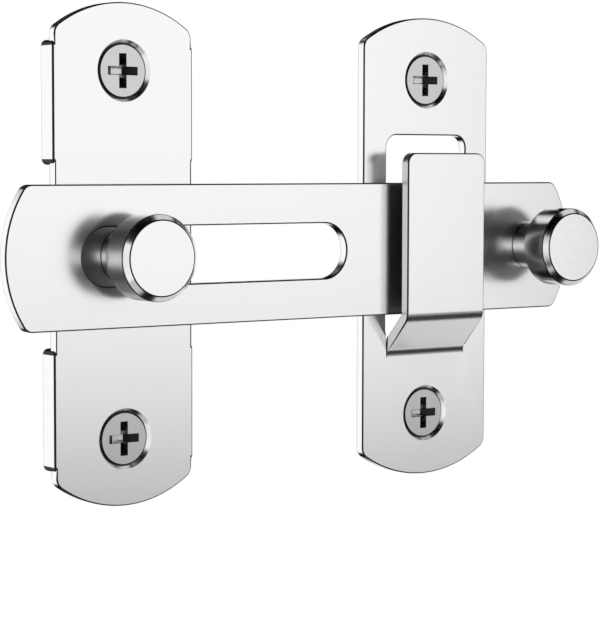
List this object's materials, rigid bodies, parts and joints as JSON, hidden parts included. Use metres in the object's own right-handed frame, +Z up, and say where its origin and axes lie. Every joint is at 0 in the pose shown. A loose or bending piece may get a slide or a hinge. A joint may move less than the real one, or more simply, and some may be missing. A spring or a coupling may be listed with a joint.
{
  "type": "door bolt",
  "caption": "Surface-mounted door bolt: a slotted flat bar turns and slides on a knob post and drops behind a lanced hook on the catch plate.",
  "frame": {"origin": "centre of the rectangle of the four screws, on the door face that the base plate's flanges stand on", "axes": "+Z up, +X from the base plate to the catch plate, +Y into the door"},
  "size_m": [0.1314, 0.0355, 0.09],
  "materials": {
    "sheet_steel": "satin polished stainless sheet",
    "knob_steel": "turned and polished stainless",
    "screw_steel": "bright stainless screws"
  },
  "bodies": {
    "fixed_plates": {"base_plate": "sheet_steel", "catch_plate": "sheet_steel", "screw_base_top": "screw_steel", "screw_base_bottom": "screw_steel", "screw_catch_top": "screw_steel", "screw_catch_bottom": "screw_steel"},
    "pivot": {"pivot_knob": "knob_steel"},
    "bolt": {"bolt_bar": "sheet_steel", "pull_knob": "knob_steel"}
  },
  "joints": [
    {"name": "bar_swing", "type": "hinge", "parent": "fixed_plates", "child": "pivot", "pos_m": [-0.0349, -0.0042, 0], "axis": [0, -1, 0], "range_deg": [0, 326]},
    {"name": "bar_slide", "type": "slide", "parent": "pivot", "child": "bolt", "axis": [1, 0, 0], "range_m": [-0.0108, 0.0048]}
  ]
}
